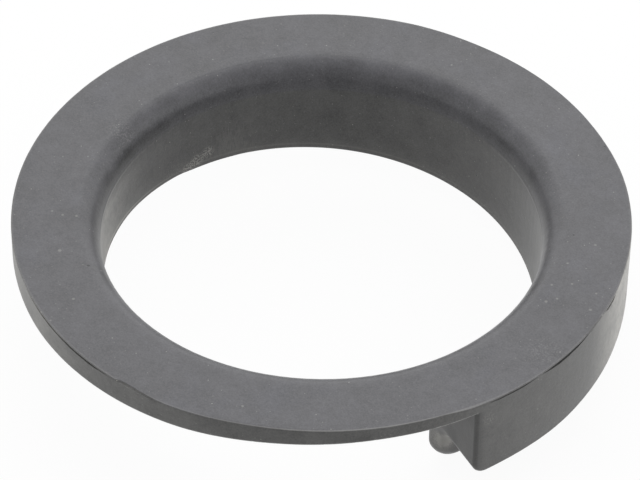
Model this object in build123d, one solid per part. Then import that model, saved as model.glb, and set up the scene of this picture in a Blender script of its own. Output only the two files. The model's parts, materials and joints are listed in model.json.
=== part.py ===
from build123d import *
import os

# Rubber ring that sits between a coil spring and the body it carries. Its flat face is up, the
# spring's end coil bears on the helical seat below, and the guide stands inside the coil.
# Lengths are in millimetres. The ring's axis is Z, its lowest point is at height 0, and the
# step of the seat lies in the XZ plane, at +X. The seat rises anticlockwise from the step.

# Ring as seen from its flat face
outer_radius = 75.0
bore_radius = 53.75

# Rounded mouth of the bore, deeper than it is wide
mouth_width = 5.25
mouth_depth = 7.5

# Flange at the thin side of the step, and how much thicker it is at the thick side
thin_flange = 2.5
seat_pitch = 20.8

# Guide below the seat
guide_wall = 4.4
guide_height = 12.8

# Root of the seat, where the end coil's wire nests against the guide
seat_root_radius = 4.5

# Moulded roundings
guide_end_radius = 6.5
seat_edge_radius = 3.3
rim_edge_radius = 1.0
bore_edge_radius = 0.8

# Least flat that two roundings leave between them on one wall
least_flat = 0.1

# How far a cutting body reaches past the rubber
overshoot = 3.0

guide_radius = bore_radius + guide_wall
mouth_radius = bore_radius + mouth_width
total_height = guide_height + seat_pitch + thin_flange
shoulder_height = total_height - mouth_depth

# Roundings that meet others on the seat or on the guide's wall are limited by its width
seat_width = outer_radius - guide_radius
guide_edge_limit = guide_wall - bore_edge_radius - least_flat
root_radius = min(seat_root_radius, seat_width - rim_edge_radius - least_flat)
step_radius = min(seat_edge_radius, root_radius - least_flat, guide_edge_limit)


def ring_stock():
    """Solid of revolution: a full-depth ring with the rounded mouth of its bore."""
    with BuildPart() as stock:
        # Revolved from the YZ plane, so that no seam of the turned walls lies at the step
        with BuildSketch(Plane.YZ):
            with BuildLine():
                EllipticalCenterArc(
                    (mouth_radius, shoulder_height),
                    mouth_width,
                    mouth_depth,
                    start_angle=90,
                    arc_size=90,
                )
                Polyline(
                    (bore_radius, shoulder_height),
                    (bore_radius, 0),
                    (outer_radius, 0),
                    (outer_radius, total_height),
                    (mouth_radius, total_height),
                )
            make_face()
        revolve(axis=Axis.Z)
    return stock.part


def underside_profile():
    """All that lies below the seat and the guide's end, in the plane of the step."""
    outside = outer_radius + overshoot
    inside = bore_radius - overshoot
    below = -seat_pitch - overshoot
    corners = [
        (outside, guide_height),
        (guide_radius, guide_height),
        (guide_radius, 0),
        (inside, 0),
        (inside, below),
        (outside, below),
    ]
    radii = [0, root_radius, 0, 0, 0, 0]
    with BuildSketch(Plane.XZ) as profile:
        with BuildLine():
            FilletPolyline(corners, radius=radii, close=True)
        make_face()
    return profile.sketch


def underside_cuts():
    """The profile carried one turn up the seat's helix, as two half turns end to end."""
    half_rise = seat_pitch / 2
    path = Helix(pitch=seat_pitch, height=half_rise, radius=outer_radius)
    first = sweep(underside_profile(), path=path, is_frenet=True)
    second = Pos(0, 0, half_rise) * Rot(0, 0, 180) * first
    return first, second


def edge_at(body, x, z):
    """The edge that passes through a point in the plane of the step."""
    return min(body.edges(), key=lambda edge: edge.distance_to(Vector(x, 0, z)))


def insulator():
    body = ring_stock()
    for cut in underside_cuts():
        body -= cut

    # Lowest corner of the guide, where its end face meets its helical end
    middle_of_wall = bore_radius + guide_wall / 2
    body = body.fillet(guide_end_radius, [edge_at(body, middle_of_wall, 0)])

    # The step's lower edge, which runs on down the guide and round its outer end edge
    middle_of_seat = (guide_radius + root_radius + outer_radius) / 2
    seat_edge = edge_at(body, middle_of_seat, guide_height)
    body = body.fillet(step_radius, [seat_edge])

    # The guide's end edge on the bore side
    bore_edge = edge_at(body, bore_radius, guide_height)
    body = body.fillet(bore_edge_radius, [bore_edge])

    # The step's outer edge, which runs on round the lower edge of the flange
    rim_edge = edge_at(body, outer_radius, guide_height + seat_pitch / 2)
    body = body.fillet(min(rim_edge_radius, thin_flange - least_flat), [rim_edge])

    # Lowered on to its lowest point, which the roundings leave above the guide's sharp corner
    return Pos(0, 0, -body.bounding_box().min.Z) * body


os.makedirs("parts", exist_ok=True)
export_step(insulator(), "parts/spring_insulator.step")
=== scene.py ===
"""Looks of a moulded rubber ring that seats a car's coil spring.

Lengths are in metres and angles in degrees, unless a comment says otherwise.
"""

import json
import math

import bmesh
import bpy
from mathutils import Matrix, Vector


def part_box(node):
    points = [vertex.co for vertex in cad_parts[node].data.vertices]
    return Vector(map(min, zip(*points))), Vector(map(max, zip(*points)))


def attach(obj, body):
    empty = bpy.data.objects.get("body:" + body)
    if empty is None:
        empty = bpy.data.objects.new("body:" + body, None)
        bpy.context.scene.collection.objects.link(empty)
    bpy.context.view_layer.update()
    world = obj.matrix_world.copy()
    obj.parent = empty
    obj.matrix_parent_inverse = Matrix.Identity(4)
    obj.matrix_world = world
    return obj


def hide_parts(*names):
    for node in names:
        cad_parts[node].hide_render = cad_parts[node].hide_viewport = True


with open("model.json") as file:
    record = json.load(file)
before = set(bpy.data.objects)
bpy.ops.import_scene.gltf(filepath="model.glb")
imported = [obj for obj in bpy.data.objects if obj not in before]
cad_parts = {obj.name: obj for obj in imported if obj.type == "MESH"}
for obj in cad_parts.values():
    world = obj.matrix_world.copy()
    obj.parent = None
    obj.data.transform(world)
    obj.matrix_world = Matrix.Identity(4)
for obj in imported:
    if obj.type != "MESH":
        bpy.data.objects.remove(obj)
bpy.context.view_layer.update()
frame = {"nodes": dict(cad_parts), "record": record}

MM = 0.001

# The ring's own sizes, taken from the frame
RING = "spring_insulator"
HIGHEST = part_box(RING)[1]
OUTER_RADIUS = HIGHEST.x
FACE_HEIGHT = HIGHEST.z
MOUNTS = {mount["name"]: mount for mount in frame["record"]["mounts"]}
BORE_RADIUS = MOUNTS["bore"]["dims"]["r_mm"] * MM

# The mouth of the bore, below the flat face
MOUTH_WIDTH = 5.25 * MM
MOUTH_DEPTH = 7.5 * MM
MOUTH_RADIUS = BORE_RADIUS + MOUTH_WIDTH
SHOULDER_HEIGHT = FACE_HEIGHT - MOUTH_DEPTH

# The guide's outer wall, and the height that its end face has at the step's azimuth and after
# one turn
GUIDE_RADIUS = 58.15 * MM
GUIDE_LOW_END = -0.4 * MM
GUIDE_HIGH_END = 20.4 * MM

# The face of the step: its top, below the thin end of the flange, and how far its painted shade spreads
STEP_TOP = FACE_HEIGHT - 2.5 * MM
STEP_HALF = 1.0 * MM

# The moulded rim of the flat face, and the slit where its thin lip stands off the wall
RIM_STEPS = 720
RIM_DEPTH = 1.3 * MM
RIM_ROUNDING = 0.1 * MM
RIM_WEAR = 0.03 * MM
LIP_THICKNESS = 0.35 * MM
SLIT_HEIGHT = 0.8 * MM
SLIT_DEPTH = 0.6 * MM
SHUT_SLIT = 0.03 * MM
FACE_ROWS = (74.0 * MM, 70.0 * MM, 65.0 * MM, 60.5 * MM)

# Depths below the flat face of the rows that make the lip and the slit
LIP_ROOF = LIP_THICKNESS + SHUT_SLIT
SLIT_BACK = LIP_ROOF + SHUT_SLIT
SLIT_SILL = LIP_ROOF + 2 * SHUT_SLIT
RIM_ROWS = (RIM_ROUNDING, LIP_THICKNESS, LIP_ROOF, SLIT_BACK, SLIT_SILL)

# Stretches of the slit: where each starts, is widest and ends, and how wide it is there. A slit
# opens this much faster than its stretch alone would have it.
SLITS = (
    (258.0, 280.0, 293.5, 0.62),
    (0.5, 8.0, 15.0, 0.4),
    (13.5, 21.0, 29.8, 0.95),
    (34.3, 37.0, 41.0, 0.95),
)
SLIT_QUICKNESS = 1.5

# Where the rim is worn round, and how far the wear reaches in from its edge
WORN_STRETCHES = ((25.0, 30.0, 36.0), (40.0, 46.0, 60.0), (301.0, 318.0, 350.0))
WORN_DEPTH = 0.2 * MM

# Where a piece of the lip has torn away: the azimuths where the tear starts, is full, begins to
# fade and ends, and how deep it is
CHIP_START = 292.2
CHIP_FULL = 292.7
CHIP_FADES = 295.5
CHIP_END = 302.0
CHIP_DEPTH = 0.55 * MM

# Waves that make an uneven line round the ring: how many there are, their phase and their share
RAGGED_WAVES = ((7, 1.3, 0.3), (23, 0.4, 0.25), (61, 2.1, 0.25), (149, 0.9, 0.2))
TORN_UNEVENNESS = 0.3
SLIT_UNEVENNESS = 0.25
RIDGE_UNEVENNESS = 0.4

# Parting ridge on both sides of the bore's shoulder: the heights at which it is cut and where it
# ends, in shares of its half width, how far behind the bore's wall its points may lie, and the
# azimuths between which it fades out
RIDGE_HEIGHT = 0.08 * MM
RIDGE_HALF = 0.9 * MM
RIDGE_CUTS = (-1.0, -0.66, -0.33, 0.0, 0.33, 0.66, 1.0)
RIDGE_FOOT = 0.99
RIDGE_REACH = 0.2 * MM
RIDGE_FADES = (85.0, 110.0, 212.0, 226.0)

# Stretches where the rim leans in: where each starts, is full, turns back and ends, and how far
# in millimetres. The lean ends at a depth below the flat face, and takes the rubber that is
# nearer to the rim than a width, all of it from a smaller width on.
LEANS = ((303.0, 322.0, 353.0, 360.0, 0.72), (68.0, 88.0, 118.0, 135.0, 0.42))
LEAN_DEPTH = 2.5 * MM
LEAN_WIDTH = 1.6 * MM
LEAN_FULL_WIDTH = 0.9 * MM

# Stretches where the flange's lower edge hangs lower, counted in the same way, the depth below
# which it hangs, and the radii between which it begins. The thin end of the flange reaches a
# little past the step.
SAGS = (
    (250.0, 270.0, 303.0, 325.0, 0.75),
    (5.0, 24.0, 36.0, 52.0, 0.85),
    (340.0, 359.0, 360.5, 361.0, 0.6),
)
SAG_BELOW = 1.5 * MM
SAG_START = 63.0 * MM
SAG_FULL = 68.0 * MM
PAST_STEP = 0.5

# How much the guide closes in towards its foot on the photograph's left and right, over what
# depth, where it begins, and where the bore's foot is uneven
OVAL = 0.43 * MM
OVAL_DEPTH = 12.0 * MM
OVAL_START = 0.1 * MM
GUIDE_SKIN = 0.5 * MM
BORE_SKIN = 1.0 * MM
FOOT_WAVES = ((173.0, 178.0, 186.0, 191.0, 0.1), (189.0, 194.0, 212.0, 228.0, -0.3))

# How near two points may lie and be one, how far a point may be off a height or a radius and
# still be on it, how far a face may be off the wall it belongs to, and how sharp a corner stays
# sharp
SAME_POINT = 0.0001 * MM
HEIGHT_SLACK = 0.01 * MM
RADIUS_SLACK = 0.1 * MM
WALL_SLACK = 0.5 * MM
SHARP_ANGLE = 32.0

# The photograph's camera.
PHOTO_WIDTH = 640
FOCAL_PIXELS = 3839.4
SENSOR_WIDTH = 36.0
NEAREST_SEEN = 0.01
FARTHEST_SEEN = 50
VIEW_AZIMUTH = 61.1
VIEW_ELEVATION = 42.858
VIEW_ROLL = 0.731
VIEW_DISTANCE = 12.282
AIM_RIGHT = -0.004
AIM_AWAY = -0.1352

# Strengths of the room's light, by where it comes from, and what keeps a division off zero
LIGHT_OVERHEAD = 0.92
LIGHT_BACK = 3.5
LIGHT_LOW_RIGHT = 2.8
LIGHT_LOW_LEFT = 2.0
LIGHT_LOW_FRONT = 0.94
LEAST_LEVEL = 0.001

# The floor, and how much of its look comes from the light that falls on it
FLOOR_SIZE = 6.0
FLOOR_COLOUR = (0.8, 0.8, 0.8, 1)
FLOOR_LIT_SHARE = 0.08
FLOOR_SEEN_GLOW = 1.02
FLOOR_MIRRORED_RIGHT = 0.77
FLOOR_MIRRORED_LEFT = 0.6
WHITE = (1, 1, 1, 1)

# Rubber: its colours and gloss
# The flat face and the mouth are a little cooler than the walls: a painted tint of cool light from above
# and warm light off the floor
FACE_COLOUR = (0.081, 0.0805, 0.088, 1)
BLUE_COLOUR = (0.083, 0.0835, 0.095, 1)
WALL_COLOUR = (0.08, 0.0797, 0.0775, 1)
# Pale colour for dust, wear and painted light, and dark colour for dirt and painted shade
DUST_AND_LIGHT_COLOUR = (0.43, 0.42, 0.395, 1)
DIRT_AND_SHADE_COLOUR = (0.02, 0.02, 0.02, 1)
RUBBER_ROUGHNESS = 0.38
DUST_ROUGHNESS = 0.2
TEXTURE_ROUGHNESS = 0.1
RUBBER_SHEEN = 0.25
SHEEN_ROUGHNESS = 0.5

# Rubber: how fine each size of its texture is, how much it lightens and darkens, and how much it
# stands out. Clouds only colour the surface, and patches stand out fully.
CLOUD_SCALE = 45.0
BLUE_SCALE = 70.0
PATCH_SCALE = 170.0
MOTTLE_SCALE = 800.0
GRAIN_SCALE = 2400.0
CLOUD_SHADE = 0.3
PATCH_SHADE = 0.4
MOTTLE_SHADE = 0.22
GRAIN_SHADE = 0.5
BLOOM_AND_SHEEN_MOTTLE = 0.6
MOTTLE_BUMP = 0.5
GRAIN_BUMP = 0.3
BUMP_STRENGTH = 0.5
BUMP_DISTANCE = 0.06 * MM

# The azimuth towards which the flat face gets paler, a painted gradient of light across it, and how much
PALER_SIDE = 1.0
PALER_SHADE = 0.08

# Fine specks all over: cells in a metre, the largest speck in cells, and the share of cells with
# one. Then how soft their edges are, and their strengths.
SPECKS = (700.0, 0.15, 0.35)
FINE_SPECKS = (1100.0, 0.22, 0.4)
SPECK_SOFTNESS = 0.4
SPECK_STRENGTH = 0.6
FINE_SPECK_STRENGTH = 0.25

# Pale bloom on the walls, partly dust and partly a painted sheen of grazing light on the walls' sides:
# the middle of each patch, how far it reaches and its strength
RIGHT_BLOOM_AND_SHEEN = (60.0, 32.0, 0.92)
LEFT_BLOOM_AND_SHEEN = (248.5, 38.0, 0.33)
FRONT_BLOOM_AND_SHEEN = (290.0, 22.0, 0.05)
BORE_BLOOM_AND_SHEEN = (241.0, 36.0, 0.3)
BORE_EDGE_BLOOM_AND_SHEEN = (246.0, 27.0, 0.3)

# Painted shade and painted light on the bore's mouth and wall, darker and paler stretches, in the same way
LEFT_MOUTH = (233.0, 50.0, 0.57)
LEFT_MOUTH_TOP = (232.0, 26.0, 0.14)
RIGHT_MOUTH = (70.0, 50.0, 0.3)
FAR_MOUTH = (151.0, 70.0, 0.24)
DARK_WALL = (198.0, 32.0, 0.13)
ALL_ROUND_SHADE = 0.1

# Where edges are rubbed pale and take painted highlights, where the rim leans in, and where shade is
# painted in the slit, in the same way
BORE_EDGES_WORN_AND_LIT = (243.0, 50.0, 1.0)
FOOT_WORN_AND_LIT = (352.0, 10.0, 0.35)
LEANING_RIM = (336.0, 33.0, 1.0)
SHADED_SLIT = (37.5, 5.0, 1.0)

# How far in the rim's pale line lies where the rim leans, and the strengths of the pale lines: on
# the rim, there where it leans, on the flange's foot, above the guide's end face, there where it
# is worn, on the bore's crease and over the wall's lowest stretch. The lines are partly wear and
# partly painted highlights on the edges, and the pale over the wall's lowest stretch is painted light.
LEANING_LINE_SHIFT = 0.65 * MM
RIM_LINE = 0.1
LEANING_LINE = 0.182
FOOT_LINE = 0.08
GUIDE_LINE = 0.1
WORN_GUIDE_LINE = 0.55
CREASE_LINE = 0.2
LOW_WALL_PAINTED_LIGHT = 0.04

# The pale line above the guide's end face, partly wear and partly a painted highlight on its edge, and
# its half width
GUIDE_LINE_HEIGHT = 1.75 * MM
GUIDE_LINE_HALF = 0.5 * MM

# A patch is full within one share of its size, and gone past the other. Grain makes its edge
# uneven.
SPOT_FULL = 0.5
SPOT_GONE = 1.1
EDGE_WOBBLE = 0.5

# The end of the guide, with a painted highlight: its place, and the sizes and strengths of two pale
# patches there
GUIDE_END = (2.0, 58.2, 8.2)
GUIDE_END_HIGHLIGHT = ((5.0, 0.25), (3.2, 0.4))

# Scuffs, a smear and a crumb: azimuth, radius, height and size in millimetres
SCUFFS = (
    (190.6, 53.75, 12.0, 2.3),
    (187.6, 53.75, 13.2, 2.5),
    (184.0, 53.75, 14.4, 2.2),
)
SMEAR = (177.0, 53.75, 15.6, 4.6)
RIM_CRUMB = (33.4, 75.0, 35.6, 0.35)

# The smear's upright streaks, and its strength between them
SMEAR_STRETCH = (1, 1, 0.15)
SMEAR_BASE = 0.6

# An upright scratch on the bore's wall: its place, how slender it is and its size
SCRATCH = (80.0, 53.75, 18.5)
SCRATCH_SLENDERNESS = 5.0
SCRATCH_SIZE = 1.3

# Strengths of the pale marks
SCUFF_STRENGTH = 0.5
SMEAR_STRENGTH = 0.15
SCRATCH_STRENGTH = 0.3
CRUMB_STRENGTH = 0.3

# Patches full of fine pale specks: azimuth, radius, height, size and strength. The specks are
# where the grain is above a level.
SPECKLED = (
    (2.5, 75.0, 30.0, 2.6, 0.16),
    (19.0, 70.5, 35.7, 6.0, 0.09),
    (211.0, 57.5, 34.5, 4.5, 0.12),
    (196.0, 53.75, 12.5, 5.0, 0.12),
)
FEW_SPECKS = 0.15

# The largest specks and pits on the flat face: azimuth, radius and size in millimetres. The
# dust round a speck makes it larger.
LARGE_SPECKS = (
    (254.6, 64.25, 0.42),
    (243.3, 62.55, 0.28),
    (243.7, 59.2, 0.3),
    (242.0, 65.1, 0.26),
    (269.6, 66.3, 0.32),
    (272.8, 74.3, 0.25),
    (31.3, 61.35, 0.34),
    (33.3, 63.2, 0.28),
    (36.8, 60.1, 0.28),
    (38.9, 64.4, 0.28),
    (38.2, 70.8, 0.26),
    (33.6, 71.7, 0.34),
    (51.9, 66.6, 0.28),
    (44.8, 61.3, 0.28),
    (316.3, 68.7, 0.3),
)
SPECK_GROWTH = 1.3
FACE_PITS = (
    (261.2, 58.95, 0.42),
    (54.2, 61.1, 0.28),
    (80.8, 73.9, 0.28),
)

# Pits on the bore's wall, counted as the scuffs are
WALL_PITS = ((104.2, 53.75, 15.3, 0.3), (75.7, 53.75, 7.1, 0.3))
PIT_DEPTH = 3.0

# Painted shade on the face of the step, all over, along its outer edge and, as painted shadow, in
# two patches at its root, then the strength of dirt in pits, and of painted shade in the slit and
# under the guide's pale line
STEP_PAINTED_SHADE = 0.58
STEP_EDGE_PAINTED_SHADE = 0.14
STEP_ROOT_PAINTED_SHADOW = 0.4
STEP_ROOT = (0.0, 64.5, 17.3, 3.2)
LOW_ROOT = (0.0, 65.6, 15.4, 1.9)
LOW_ROOT_SHARE = 0.6
PIT_DIRT = 0.7
SLIT_PAINTED_SHADE = 0.3
LINE_PAINTED_SHADE = 0.3


class Wire:
    """A shader socket that takes part in Python sums. Each operator adds its Math node."""

    def __init__(self, tree, socket=None):
        self.tree = tree
        self.socket = socket

    def node(self, kind, inputs=None, output=0, **settings):
        """Adds a node of any kind: its settings first, then its sockets' values or links."""
        made = self.tree.nodes.new("ShaderNode" + kind)
        for name, value in settings.items():
            setattr(made, name, value)
        for name, value in (inputs or {}).items():
            if isinstance(value, Wire):
                self.tree.links.new(value.socket, made.inputs[name])
            else:
                made.inputs[name].default_value = value
        return Wire(self.tree, made.outputs[output] if made.outputs else None)

    def other(self, output):
        """Another output of the same node."""
        return Wire(self.tree, self.socket.node.outputs[output])

    def math(self, operation, *values, clamp=False):
        return self.node("Math", dict(enumerate(values)), operation=operation, use_clamp=clamp)

    def __add__(self, value):
        return self.math("ADD", self, value)

    def __radd__(self, value):
        return self.math("ADD", value, self)

    def __sub__(self, value):
        return self.math("SUBTRACT", self, value)

    def __rsub__(self, value):
        return self.math("SUBTRACT", value, self)

    def __mul__(self, value):
        return self.math("MULTIPLY", self, value)

    def __rmul__(self, value):
        return self.math("MULTIPLY", value, self)

    def __truediv__(self, value):
        return self.math("DIVIDE", self, value)

    def __gt__(self, value):
        return self.math("GREATER_THAN", self, value)

    def at_least(self, value):
        return self.math("MAXIMUM", self, value)

    def clamped(self):
        return self.math("ADD", self, 0.0, clamp=True)

    def between(self, low, high):
        """Rises smoothly from 0 at low to 1 at high, or falls where high is the smaller."""
        inputs = {"Value": self, "From Min": low, "From Max": high}
        return self.node("MapRange", inputs, interpolation_type="SMOOTHSTEP")

    def band(self, low, full, last_full, high):
        """0 up to low, 1 from full to last_full, and 0 again from high."""
        return self.between(low, full) * self.between(high, last_full)

    def dot(self, direction):
        return self.node("VectorMath", {0: self, 1: direction}, "Value", operation="DOT_PRODUCT")

    def minus(self, place):
        return self.node("VectorMath", {0: self, 1: place}, operation="SUBTRACT")

    def stretched(self, scale):
        return self.node("VectorMath", {0: self, 1: scale}, operation="MULTIPLY")

    def scaled(self, factor):
        return self.node("VectorMath", {0: self, "Scale": factor}, operation="SCALE")

    def length(self):
        return self.node("VectorMath", {0: self}, "Value", operation="LENGTH")

    def noise(self, scale, detail=2.0):
        """Noise from about -1 to 1 over this vector."""
        return (self.node("TexNoise", {"Vector": self, "Scale": scale, "Detail": detail}) - 0.5) * 2.0

    def blended(self, factor, colour):
        """This colour, turned towards another by a factor."""
        return self.node("Mix", {0: factor, 6: self, 7: colour}, 2, data_type="RGBA")


def start_wires(tree):
    """A tree with no nodes, ready for new ones."""
    tree.nodes.clear()
    return Wire(tree)


def level_direction(azimuth):
    """The level direction at an azimuth, one metre long."""
    turn = math.radians(azimuth)
    return Vector((math.cos(turn), math.sin(turn), 0))


def view_directions():
    """Level directions to the photograph's right and away from its camera."""
    return level_direction(VIEW_AZIMUTH), level_direction(VIEW_AZIMUTH + 90)


def stand_camera():
    """A camera at the photograph's viewing angle, distance and framing."""
    right, away = view_directions()
    elevation = math.radians(VIEW_ELEVATION)
    back = Vector((0, 0, math.sin(elevation))) - away * math.cos(elevation)
    centre = Vector((0, 0, FACE_HEIGHT))
    aim = centre + (right * AIM_RIGHT + away * AIM_AWAY) * OUTER_RADIUS
    turn = Matrix.Rotation(math.radians(VIEW_ROLL), 4, "Z")
    level = Matrix((right, back.cross(right), back)).transposed().to_4x4()
    data = bpy.data.cameras.new("camera")
    data.sensor_width = SENSOR_WIDTH
    data.lens = FOCAL_PIXELS * SENSOR_WIDTH / PHOTO_WIDTH
    data.clip_start = NEAREST_SEEN
    data.clip_end = FARTHEST_SEEN
    camera = bpy.data.objects.new("camera", data)
    bpy.context.scene.collection.objects.link(camera)
    camera.matrix_world = Matrix.Translation(aim + back * VIEW_DISTANCE * OUTER_RADIUS) @ level @ turn
    bpy.context.scene.camera = camera


def light_room():
    """A soft studio room: light from overhead, a bright back wall and low light from the sides."""
    world = bpy.data.worlds.new("studio_room")
    world.use_nodes = True
    bpy.context.scene.world = world
    right, away = view_directions()
    wires = start_wires(world.node_tree)
    direction = wires.node("TexCoord", output="Generated")
    height = direction.dot((0, 0, 1))
    across = direction.dot(right)
    along = direction.dot(away)
    level = (across * across + along * along).at_least(LEAST_LEVEL)
    rise = height.at_least(0.0)
    low = (1 - rise) * (1 - rise)
    middle = 2 * rise * (1 - rise)

    def towards(side):
        part = side.at_least(0.0)
        return part * part / level

    light = LIGHT_OVERHEAD * rise * rise
    light = light + LIGHT_BACK * middle * towards(along)
    light = light + LIGHT_LOW_FRONT * low * towards(-1 * along)
    light = light + LIGHT_LOW_RIGHT * low * towards(across)
    light = light + LIGHT_LOW_LEFT * low * towards(-1 * across)
    light = light * (height > 0)
    seen = wires.node("LightPath", output="Is Camera Ray")
    seen = seen.at_least(seen.other("Is Transmission Ray"))
    background = wires.node("Background", {"Color": WHITE, "Strength": light * (1 - seen) + seen})
    wires.node("OutputWorld", {"Surface": background})


def lay_floor():
    """A pale floor that looks white and keeps a faint shadow of the ring."""
    bpy.ops.object.select_all(action="DESELECT")
    bpy.ops.mesh.primitive_plane_add(size=FLOOR_SIZE, location=(0, 0, 0))
    floor = bpy.context.object
    floor.name = "floor"
    material = bpy.data.materials.new("pale_floor")
    material.use_nodes = True
    floor.data.materials.append(material)
    wires = start_wires(material.node_tree)
    matt = wires.node("BsdfDiffuse", {"Color": FLOOR_COLOUR})
    right, away = view_directions()
    to_right = wires.node("TexCoord", output="Object").dot(right).between(-OUTER_RADIUS, OUTER_RADIUS)
    mirrored_glow = FLOOR_MIRRORED_LEFT + (FLOOR_MIRRORED_RIGHT - FLOOR_MIRRORED_LEFT) * to_right
    path = wires.node("LightPath", output="Is Glossy Ray")
    mirrored = path.at_least(path.other("Is Transmission Ray"))
    seen = path.other("Is Camera Ray")
    strength = mirrored * mirrored_glow + seen * FLOOR_SEEN_GLOW
    glow = wires.node("Emission", {"Color": WHITE, "Strength": strength})
    share = mirrored.at_least(seen * (1 - FLOOR_LIT_SHARE))
    look = wires.node("MixShader", {0: share, 1: matt, 2: glow})
    wires.node("OutputMaterial", {"Surface": look})


def smooth_step(value, low, high):
    """Rises smoothly from 0 at low to 1 at high."""
    share = min(max((value - low) / (high - low), 0), 1)
    return share * share * (3 - 2 * share)


def ragged(azimuth, seed):
    """An uneven line from -1 to 1 round the ring, as a torn or worn edge has, another for each seed."""
    turn = math.radians(azimuth)
    return sum(share * math.sin(count * turn + phase * seed) for count, phase, share in RAGGED_WAVES)


def swell(azimuth, start, middle, end):
    """Rises from 0 at the start of a stretch to 1 at its middle, and falls to 0 at its end."""
    return min(smooth_step(azimuth, start, middle), smooth_step(-azimuth, -end, -middle))


def slit_at(azimuth):
    """How far the slit under the lip is open, from 0 to about 1."""
    return max(
        min(SLIT_QUICKNESS * swell(azimuth, start, middle, end), 1) * width
        for start, middle, end, width in SLITS
    )


def chip_at(azimuth):
    """How much of the lip is gone: all at the tear, less and less after it."""
    return smooth_step(azimuth, CHIP_START, CHIP_FULL) * (1 - smooth_step(azimuth, CHIP_FADES, CHIP_END))


def worn_at(azimuth):
    """How much of the rim's edge is worn round, from 0 to 1."""
    return max(swell(azimuth, *stretch) for stretch in WORN_STRETCHES)


def bent_at(azimuth, stretches):
    """How far the rubber is bent at an azimuth, from a list of stretches."""
    bend = 0.0
    for start, full, back, end, amount in stretches:
        bend += amount * MM * smooth_step(azimuth, start, full) * (1 - smooth_step(azimuth, back, end))
    return bend


def radius_of(place):
    return math.hypot(place.x, place.y)


def azimuth_of(place):
    return math.degrees(math.atan2(place.y, place.x)) % 360


def carried(place, new_radius, drop=0.0):
    """A point carried level to a new radius, and then down."""
    radius = radius_of(place)
    return Vector((place.x * new_radius / radius, place.y * new_radius / radius, place.z - drop))


def pick(kind, wanted):
    """Selects, in edit mode, the vertices, edges or faces that are wanted."""
    bpy.ops.mesh.select_mode(type=kind)
    bpy.ops.mesh.select_all(action="DESELECT")
    mesh = bmesh.from_edit_mesh(bpy.context.object.data)
    parts = {"VERT": mesh.verts, "EDGE": mesh.edges, "FACE": mesh.faces}[kind]
    for part in parts:
        if wanted(part):
            part.select_set(True)
    mesh.select_flush_mode()
    bmesh.update_edit_mesh(bpy.context.object.data)


def open_edge(edge, radius, height):
    """Whether an edge bounds a hole in the mesh, at a radius and a height."""
    if not edge.is_boundary:
        return False
    return all(
        abs(radius_of(corner.co) - radius) < RADIUS_SLACK and abs(corner.co.z - height) < HEIGHT_SLACK
        for corner in edge.verts
    )


def extrude_row(drop=0.0, widen=1.0):
    """Carries the selected edges down, or towards the axis."""
    bpy.ops.mesh.extrude_edges_move(TRANSFORM_OT_translate={"value": (0, 0, -drop)})
    if widen != 1.0:
        bpy.ops.transform.resize(value=(widen, widen, 1), center_override=(0, 0, FACE_HEIGHT))


def cut_level(height):
    """Cuts the selected faces through at a height."""
    bpy.ops.mesh.bisect(plane_co=(0, 0, height), plane_no=(0, 0, 1), threshold=SAME_POINT)


def merge_points(data):
    """Joins loose triangles where their corners meet, more finely than the operator can."""
    mesh = bmesh.new()
    mesh.from_mesh(data)
    bmesh.ops.remove_doubles(mesh, verts=mesh.verts, dist=SAME_POINT)
    mesh.to_mesh(data)
    mesh.free()


def build_rim():
    """Takes off the plain rim and flat face, and builds them again in fine rows."""
    cut_height = FACE_HEIGHT - RIM_DEPTH

    def on_outer_wall(face):
        upright = abs(face.normal.z) < 0.5
        return upright and radius_of(face.calc_center_median()) > OUTER_RADIUS - WALL_SLACK

    def above_cut(face):
        middle = face.calc_center_median()
        on_face = middle.z > FACE_HEIGHT - HEIGHT_SLACK / 2
        return on_face or (on_outer_wall(face) and middle.z > cut_height)

    pick("FACE", on_outer_wall)
    cut_level(cut_height)
    pick("FACE", above_cut)
    bpy.ops.mesh.delete(type="FACE")

    bpy.ops.mesh.select_all(action="DESELECT")
    bpy.ops.mesh.primitive_circle_add(
        vertices=RIM_STEPS, radius=OUTER_RADIUS, fill_type="NOTHING", location=(0, 0, FACE_HEIGHT)
    )
    bpy.ops.mesh.select_mode(type="EDGE")
    depth = 0.0
    for next_depth in RIM_ROWS:
        extrude_row(drop=next_depth - depth)
        depth = next_depth

    def round_wall_gap(edge):
        lowest_row = open_edge(edge, OUTER_RADIUS, FACE_HEIGHT - SLIT_SILL)
        return lowest_row or open_edge(edge, OUTER_RADIUS, cut_height)

    pick("EDGE", round_wall_gap)
    bpy.ops.mesh.bridge_edge_loops()

    pick("EDGE", lambda edge: open_edge(edge, OUTER_RADIUS, FACE_HEIGHT))
    radius = OUTER_RADIUS
    for next_radius in FACE_ROWS:
        extrude_row(widen=next_radius / radius)
        radius = next_radius

    def round_face_gap(edge):
        innermost_row = open_edge(edge, FACE_ROWS[-1], FACE_HEIGHT)
        return innermost_row or open_edge(edge, MOUTH_RADIUS, FACE_HEIGHT)

    pick("EDGE", round_face_gap)
    bpy.ops.mesh.fill(use_beauty=True)


def cut_shoulder():
    """Cuts the bore's wall and mouth level, a little above and below the shoulder."""

    def by_bore(face):
        return radius_of(face.calc_center_median()) < BORE_RADIUS + WALL_SLACK

    for share in RIDGE_CUTS:
        pick("FACE", by_bore)
        cut_level(SHOULDER_HEIGHT + share * RIDGE_HALF)


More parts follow.
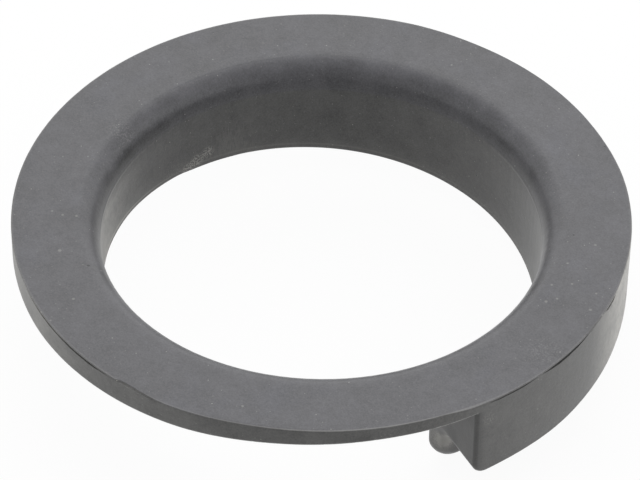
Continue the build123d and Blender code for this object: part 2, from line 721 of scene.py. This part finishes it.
def rim_radius(depth, azimuth):
    """Radius of a rim row at a depth below the flat face, with its slit, chip and wear."""
    wear = RIM_WEAR * (1 + ragged(azimuth, 1))
    worn = WORN_DEPTH * worn_at(azimuth) * (1 + TORN_UNEVENNESS * ragged(azimuth, 5))
    chip = CHIP_DEPTH * chip_at(azimuth) * (1 + TORN_UNEVENNESS * ragged(azimuth, 4))
    # From the flat face down, each row takes less of the wear and of the chip
    if depth < RIM_ROUNDING / 2:
        return OUTER_RADIUS - wear - worn - chip - 0.8 * RIM_ROUNDING
    if depth < (RIM_ROUNDING + LIP_THICKNESS) / 2:
        return OUTER_RADIUS - wear - 0.4 * worn - 0.9 * chip
    if depth < (LIP_THICKNESS + LIP_ROOF) / 2:
        return OUTER_RADIUS - wear - 0.7 * chip
    if depth < (SLIT_BACK + SLIT_SILL) / 2:
        return OUTER_RADIUS - max(SLIT_DEPTH * slit_at(azimuth), 0.6 * chip)
    return OUTER_RADIUS


def shape_rim(place):
    """Where a point of the fine rim goes: in or out for wear, and down for the slit's lower side."""
    depth = FACE_HEIGHT - place.z
    if radius_of(place) < OUTER_RADIUS - RADIUS_SLACK or depth > SLIT_SILL + SAME_POINT:
        return place
    azimuth = azimuth_of(place)
    drop = 0.0
    if depth > (LIP_ROOF + SLIT_BACK) / 2:
        drop = SLIT_HEIGHT * slit_at(azimuth) * (1 + SLIT_UNEVENNESS * ragged(azimuth, 2))
    return carried(place, rim_radius(depth, azimuth), drop)


def lean_rim(place):
    """Leans the rim in, as far as the lower edge of the flange's thin side."""
    radius = radius_of(place)
    depth = FACE_HEIGHT - place.z
    if radius < OUTER_RADIUS - LEAN_WIDTH or depth > LEAN_DEPTH:
        return place
    share = smooth_step(radius, OUTER_RADIUS - LEAN_WIDTH, OUTER_RADIUS - LEAN_FULL_WIDTH)
    share *= 1 - depth / LEAN_DEPTH
    return carried(place, radius - bent_at(azimuth_of(place), LEANS) * share)


def sag_flange(place):
    """Lets the flange's lower edge hang lower on some stretches."""
    radius = radius_of(place)
    if place.z > FACE_HEIGHT - SAG_BELOW or radius < SAG_START:
        return place
    azimuth = azimuth_of(place)
    if azimuth < PAST_STEP and place.z > FACE_HEIGHT / 2:
        azimuth += 360
    drop = bent_at(azimuth, SAGS) * smooth_step(radius, SAG_START, SAG_FULL)
    return Vector((place.x, place.y, place.z - drop))


def close_guide(place):
    """Closes the guide in towards its foot, more to the photograph's left and right."""
    radius = radius_of(place)
    depth = SHOULDER_HEIGHT - RIDGE_HALF - place.z
    if radius > GUIDE_RADIUS - GUIDE_SKIN or depth < OVAL_START:
        return place
    side = place.dot(view_directions()[0]) / radius
    share = 1 - smooth_step(radius, BORE_RADIUS + BORE_SKIN, GUIDE_RADIUS - GUIDE_SKIN)
    share *= min(depth / OVAL_DEPTH, 1)
    drop = bent_at(azimuth_of(place), FOOT_WAVES) * share
    return carried(place, radius - OVAL * side * side * share, drop)


def shape_shoulder(place):
    """Raises the parting ridge from the bore's wall at the shoulder."""
    radius = radius_of(place)
    share = (place.z - SHOULDER_HEIGHT) / RIDGE_HALF
    if radius > BORE_RADIUS + RIDGE_REACH or abs(share) > RIDGE_FOOT:
        return place
    azimuth = azimuth_of(place)
    fade, gone, back, full = RIDGE_FADES
    height = 1 - smooth_step(azimuth, fade, gone) + smooth_step(azimuth, back, full)
    crest = (1 - share * share) ** 2
    uneven = 1 + RIDGE_UNEVENNESS * ragged(azimuth, 3)
    return carried(place, radius - RIDGE_HEIGHT * height * crest * uneven)


def mould_ring():
    """The ring's own mesh, closed, with the rim and ridge that the mould left on it."""
    data = frame["nodes"][RING].data.copy()
    ring = bpy.data.objects.new("rubber_ring", data)
    bpy.context.scene.collection.objects.link(ring)
    bpy.ops.object.select_all(action="DESELECT")
    ring.select_set(True)
    bpy.context.view_layer.objects.active = ring
    bpy.ops.mesh.customdata_custom_splitnormals_clear()
    merge_points(data)
    bpy.ops.object.mode_set(mode="EDIT")
    build_rim()
    cut_shoulder()
    bpy.ops.mesh.select_all(action="SELECT")
    bpy.ops.mesh.normals_make_consistent(inside=False)
    bpy.ops.object.mode_set(mode="OBJECT")
    for vertex in data.vertices:
        for bend in (shape_rim, lean_rim, sag_flange, shape_shoulder, close_guide):
            vertex.co = bend(vertex.co)
    bpy.ops.object.shade_smooth_by_angle(angle=math.radians(SHARP_ANGLE))
    weigh = ring.modifiers.new("even_shading", "WEIGHTED_NORMAL")
    weigh.keep_sharp = True
    bpy.ops.object.modifier_apply(modifier=weigh.name)
    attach(ring, "root")
    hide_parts(RING)
    return ring


def ring_point(azimuth, radius, height):
    """A place on the ring, from its azimuth in degrees and its radius and height in millimetres."""
    return (level_direction(azimuth) * radius + Vector((0, 0, height))) * MM


def spot(place, centre, size, wobble=0.0):
    """1 within a patch of a size in millimetres round a place, and 0 outside it."""
    away = place.minus(centre).length() / (size * MM)
    return (away + wobble).between(SPOT_GONE, SPOT_FULL)


def spots(place, marks, wobble=0.0):
    """Several patches, each given by its azimuth, radius, height and size."""
    return sum(spot(place, ring_point(*mark[:3]), mark[3], wobble) for mark in marks)


def on_flat_face(marks, growth=1.0):
    """Marks on the flat face, with its height put in."""
    return [(azimuth, radius, FACE_HEIGHT / MM, growth * size) for azimuth, radius, size in marks]


def streak(place, centre, slenderness, size):
    """An upright patch, this many times as tall as it is wide."""
    offset = place.minus(centre).stretched((slenderness, slenderness, 1))
    return (offset.length() / (size * MM)).between(SPOT_GONE, SPOT_FULL)


def specks(place, cells, largest, chance):
    """Round specks, one in some of the cells, each with its own size."""
    cell = place.node("TexVoronoi", {"Vector": place, "Scale": cells})
    luck = cell.other("Color").dot((1, 0, 0))
    size = largest * (luck - (1 - chance)) / chance
    return ((size - cell) / (SPECK_SOFTNESS * largest)).clamped()


def pale_marks_and_highlight(place, grain):
    """Dusty scuffs, smears and specks on the bore's wall, the flat face and the outer wall, and a painted
    highlight on the guide's end.
    """
    wobble = EDGE_WOBBLE * grain
    scuffs = spots(place, SCUFFS, wobble).clamped() * (grain > 0.0)
    streaks = place.stretched(SMEAR_STRETCH).noise(GRAIN_SCALE, 2.0)
    smear = spots(place, [SMEAR], 2 * streaks) * (SMEAR_BASE + streaks)
    scratch = streak(place, ring_point(*SCRATCH), SCRATCH_SLENDERNESS, SCRATCH_SIZE)
    crumbs = spots(place, [RIM_CRUMB]) + spots(place, on_flat_face(LARGE_SPECKS, SPECK_GROWTH), wobble)
    pale = SCUFF_STRENGTH * scuffs + SMEAR_STRENGTH * smear
    pale = pale + SCRATCH_STRENGTH * scratch + CRUMB_STRENGTH * crumbs
    for azimuth, radius, height, size, strength in SPECKLED:
        speckled = spot(place, ring_point(azimuth, radius, height), size, wobble) * (grain > FEW_SPECKS)
        pale = pale + strength * speckled
    for size, strength in GUIDE_END_HIGHLIGHT:
        pale = pale + strength * spot(place, ring_point(*GUIDE_END), size, wobble)
    return pale.clamped()


def azimuth_patch(place, radius, middle, reach, strength):
    """A patch round the ring, from the middle of its stretch to where it ends, in degrees."""
    facing = place.dot(level_direction(middle)) / radius
    return strength * facing.between(math.cos(math.radians(reach)), 1.0)


def on_bore_wall(radius, reach):
    """1 on the bore's wall, and 0 further than a reach behind it."""
    return radius.between(BORE_RADIUS + reach, BORE_RADIUS + 0.3 * MM)


def bloom_and_sheen_on_walls(place, radius, height):
    """Pale bloom on both sides of the outer wall and on one side of the bore, partly dust and partly a
    painted sheen of grazing light.
    """
    outside = sum(azimuth_patch(place, radius, *patch) for patch in (RIGHT_BLOOM_AND_SHEEN, LEFT_BLOOM_AND_SHEEN, FRONT_BLOOM_AND_SHEEN))
    outside = outside * radius.between(OUTER_RADIUS - 1.5 * MM, OUTER_RADIUS - 0.5 * MM)
    up_to_crease = height.between(SHOULDER_HEIGHT + 0.2 * MM, SHOULDER_HEIGHT - 0.1 * MM)
    soft_top = height.between(SHOULDER_HEIGHT + 0.5 * MM, SHOULDER_HEIGHT - 4.0 * MM)
    inside = up_to_crease * azimuth_patch(place, radius, *BORE_EDGE_BLOOM_AND_SHEEN)
    inside = inside + soft_top * azimuth_patch(place, radius, *BORE_BLOOM_AND_SHEEN)
    return outside + on_bore_wall(radius, 1.0 * MM) * inside


def height_above_foot(place, height):
    """Height above the guide's end face, which climbs once round the ring."""
    turn = place.math("ARCTAN2", place.dot((0, -1, 0)), place.dot((-1, 0, 0))) / math.tau + 0.5
    return height - (GUIDE_LOW_END + (GUIDE_HIGH_END - GUIDE_LOW_END) * turn)


def worn_and_highlit_edges(place, radius, height, above_foot, on_face, facing_down):
    """Pale lines on the rim, the flange's foot and the bore's edges, partly wear and partly painted
    highlights, and painted light low on the bore's wall.
    """
    leaning = azimuth_patch(place, radius, *LEANING_RIM)
    straightened = radius + LEANING_LINE_SHIFT * leaning
    rim = on_face * straightened.between(OUTER_RADIUS - 0.6 * MM, OUTER_RADIUS - 0.3 * MM)
    rim = rim * (RIM_LINE + LEANING_LINE * leaning)
    foot = facing_down.between(0.1, 0.4) * radius.between(OUTER_RADIUS - 2.0 * MM, OUTER_RADIUS - 1.0 * MM)
    foot = foot * (FOOT_LINE + azimuth_patch(place, radius, *FOOT_WORN_AND_LIT))
    worn = azimuth_patch(place, radius, *BORE_EDGES_WORN_AND_LIT)
    line = above_foot.band(
        GUIDE_LINE_HEIGHT - GUIDE_LINE_HALF,
        GUIDE_LINE_HEIGHT,
        GUIDE_LINE_HEIGHT,
        GUIDE_LINE_HEIGHT + GUIDE_LINE_HALF,
    )
    crease = (height - SHOULDER_HEIGHT).band(-0.9 * MM, -0.5 * MM, -0.3 * MM, 0.1 * MM)
    lowest = above_foot.between(5.0 * MM, 1.0 * MM)
    bore = (GUIDE_LINE + WORN_GUIDE_LINE * worn) * line + CREASE_LINE * crease * worn * worn
    bore = on_bore_wall(radius, 0.7 * MM) * (bore + LOW_WALL_PAINTED_LIGHT * lowest)
    return rim + foot + bore


def painted_shade_at_step(place, radius, height):
    """Painted shade on the face of the step, more of it along its upright outer edge, and a painted shadow
    at its root.
    """
    across = place.dot((0, 1, 0))
    near = across.band(-1.5 * STEP_HALF, -STEP_HALF, 0.5 * STEP_HALF, 3.0 * STEP_HALF)
    near = near * (place.dot((1, 0, 0)) > 0)
    near = near * radius.between(GUIDE_RADIUS - 1.0 * MM, GUIDE_RADIUS)
    near = near * height.between(STEP_TOP + 0.3 * MM, STEP_TOP - 0.3 * MM)
    edge = (radius - OUTER_RADIUS).band(-5.0 * MM, -1.2 * MM, -0.9 * MM, -0.3 * MM)
    root = spots(place, [STEP_ROOT]) + LOW_ROOT_SHARE * spots(place, [LOW_ROOT])
    return near * (STEP_PAINTED_SHADE + STEP_EDGE_PAINTED_SHADE * edge + STEP_ROOT_PAINTED_SHADOW * root)


def painted_shade_in_slit(place, radius, height):
    """Painted shade inside the slit under the lip, on the stretch where it is darkest."""
    inside = radius.between(OUTER_RADIUS - 0.1 * MM, OUTER_RADIUS - 0.3 * MM)
    inside = inside * height.between(FACE_HEIGHT - 0.34 * MM, FACE_HEIGHT - 0.4 * MM)
    return inside * azimuth_patch(place, radius, *SHADED_SLIT)


def painted_shade_under_line(place, radius, above_foot):
    """Painted shade under the pale line along the guide's foot."""
    under_line = above_foot.between(GUIDE_LINE_HEIGHT - 0.3 * MM, GUIDE_LINE_HEIGHT - 0.7 * MM)
    return under_line * azimuth_patch(place, radius, *BORE_EDGES_WORN_AND_LIT)


def mouth_painted_light_and_shade(place, radius, height, on_face, in_mouth):
    """Painted light and shade in the bore's mouth: paler high on the far side, less the painted shade low
    down and high on the left.
    """
    rise = height - SHOULDER_HEIGHT
    low = radius.between(MOUTH_RADIUS + 2.0 * MM, MOUTH_RADIUS + 1.0 * MM)
    low = low * rise.band(-5.0 * MM, 2.0 * MM, 2.5 * MM, 7.3 * MM)
    low = low * (ALL_ROUND_SHADE + azimuth_patch(place, radius, *LEFT_MOUTH) + azimuth_patch(place, radius, *RIGHT_MOUTH))
    high = in_mouth * rise.between(4.0 * MM, 7.0 * MM) * (1 - on_face)
    high = high * (azimuth_patch(place, radius, *FAR_MOUTH) - azimuth_patch(place, radius, *LEFT_MOUTH_TOP))
    return high - low


def make_rubber():
    """Old matt rubber: grey, mottled, dusty in places, with specks and scuffs, and with painted light and
    shade.
    """
    material = bpy.data.materials.new("old_rubber")
    material.use_nodes = True
    wires = start_wires(material.node_tree)
    place = wires.node("TexCoord", output="Object")
    facing_down = wires.node("TexCoord", output="Normal").dot((0, 0, -1))
    height = place.dot((0, 0, 1))
    radius = place.stretched((1, 1, 0)).length()
    above_foot = height_above_foot(place, height)
    on_face = height.between(FACE_HEIGHT - 0.15 * MM, FACE_HEIGHT - 0.02 * MM)
    in_mouth = height.between(SHOULDER_HEIGHT - 0.1 * MM, SHOULDER_HEIGHT + 0.4 * MM)
    in_mouth = in_mouth * radius.between(MOUTH_RADIUS + 2.0 * MM, MOUTH_RADIUS + 1.0 * MM)
    cloud = place.noise(CLOUD_SCALE, 3.0)
    patch = place.noise(PATCH_SCALE, 4.0)
    mottle = place.noise(MOTTLE_SCALE, 3.0)
    grain = place.noise(GRAIN_SCALE, 2.0)
    pits = (spots(place, WALL_PITS) + spots(place, on_flat_face(FACE_PITS))).clamped()

    # Painted shade deep on the bore's wall, fading out towards its foot, and painted light and shade in
    # its mouth
    deep = on_bore_wall(radius, 1.0 * MM) * above_foot.between(1.0 * MM, 8.0 * MM)
    deep = deep * (ALL_ROUND_SHADE + azimuth_patch(place, radius, *DARK_WALL))
    # A painted gradient of light: the flat face is paler towards one side
    paler = on_face * place.dot(level_direction(PALER_SIDE)) / OUTER_RADIUS
    shade = 1 + CLOUD_SHADE * cloud + PATCH_SHADE * patch + MOTTLE_SHADE * mottle + GRAIN_SHADE * grain
    shade = shade - deep + mouth_painted_light_and_shade(place, radius, height, on_face, in_mouth) + PALER_SHADE * paler
    # The flat face and the mouth take the cooler colour, a painted tint of light
    cool_tinted_part = on_face.at_least(in_mouth)
    colour = wires.node("Mix", {0: cool_tinted_part, 6: WALL_COLOUR, 7: FACE_COLOUR}, 2, data_type="RGBA")
    bluish = on_face * place.noise(BLUE_SCALE, 2.0).between(0.0, 0.6)
    colour = colour.blended(bluish, BLUE_COLOUR).scaled(shade)

    # Pale dust, wear and specks, with painted sheen, highlights and light mixed in
    dust_and_painted_light = bloom_and_sheen_on_walls(place, radius, height) * (1 - on_face) * (1 + patch + BLOOM_AND_SHEEN_MOTTLE * mottle)
    dust_and_painted_light = dust_and_painted_light + pale_marks_and_highlight(place, grain)
    dust_and_painted_light = dust_and_painted_light + worn_and_highlit_edges(place, radius, height, above_foot, on_face, facing_down)
    dust_and_painted_light = dust_and_painted_light + SPECK_STRENGTH * specks(place, *SPECKS)
    dust_and_painted_light = dust_and_painted_light + FINE_SPECK_STRENGTH * specks(place, *FINE_SPECKS)
    colour = colour.blended(dust_and_painted_light.clamped(), DUST_AND_LIGHT_COLOUR)
    # Dirt in pits, and painted shade at the step, in the slit and under the guide's pale line
    dirt_and_shade = PIT_DIRT * pits + painted_shade_at_step(place, radius, height)
    dirt_and_shade = dirt_and_shade + SLIT_PAINTED_SHADE * painted_shade_in_slit(place, radius, height)
    dirt_and_shade = dirt_and_shade + LINE_PAINTED_SHADE * painted_shade_under_line(place, radius, above_foot)
    colour = colour.blended(dirt_and_shade.clamped(), DIRT_AND_SHADE_COLOUR)

    roughness = RUBBER_ROUGHNESS + TEXTURE_ROUGHNESS * (cloud + patch) + DUST_ROUGHNESS * dust_and_painted_light
    surface = GRAIN_BUMP * grain + MOTTLE_BUMP * mottle + patch - PIT_DEPTH * pits
    inputs = {"Strength": BUMP_STRENGTH, "Distance": BUMP_DISTANCE, "Height": surface}
    bump = wires.node("Bump", inputs)
    rubber = wires.node(
        "BsdfPrincipled",
        {
            "Base Color": colour,
            "Roughness": roughness,
            "Normal": bump,
            "Sheen Weight": RUBBER_SHEEN,
            "Sheen Roughness": SHEEN_ROUGHNESS,
        },
    )
    wires.node("OutputMaterial", {"Surface": rubber})
    return material


stand_camera()
light_room()
lay_floor()
ring = mould_ring()
ring.data.materials.clear()
ring.data.materials.append(make_rubber())
bpy.context.scene.view_settings.view_transform = "Standard"
